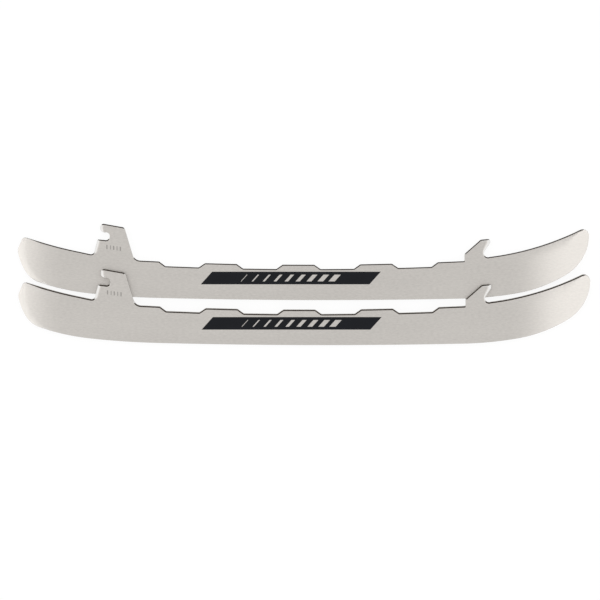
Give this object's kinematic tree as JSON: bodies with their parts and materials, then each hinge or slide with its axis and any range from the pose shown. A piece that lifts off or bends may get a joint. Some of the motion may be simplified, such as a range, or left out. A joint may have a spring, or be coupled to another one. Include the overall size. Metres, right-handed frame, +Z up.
{
  "type": "ice hockey skate runner set",
  "caption": "Flat steel ice hockey skate runners with a rockered running edge, castellated seat, notched heel tab and toe hook, laid overlapping with one leaning on the other.",
  "frame": {"origin": "middle of the box round both runners, on the table", "axes": "+X from heel to toe, +Y from the running edge towards the holder side of the flat runner, +Z up off the table"},
  "size_m": [0.2714, 0.0575, 0.0082],
  "materials": {
    "runner_steel": "satin ground stainless steel",
    "print_ink": "satin black ink in a shallow etched field"
  },
  "bodies": {
    "flat_runner": {"flat_runner": "runner_steel", "flat_runner_top_print": "print_ink", "flat_runner_under_print": "print_ink"},
    "leaning_runner": {"leaning_runner": "runner_steel", "leaning_runner_top_print": "print_ink", "leaning_runner_under_print": "print_ink"}
  },
  "joints": [
    {"name": "leaning_runner_lift", "type": "slide", "parent": "flat_runner", "child": "leaning_runner", "axis": [0, 0, 1], "range_m": [0, 0.06]}
  ]
}
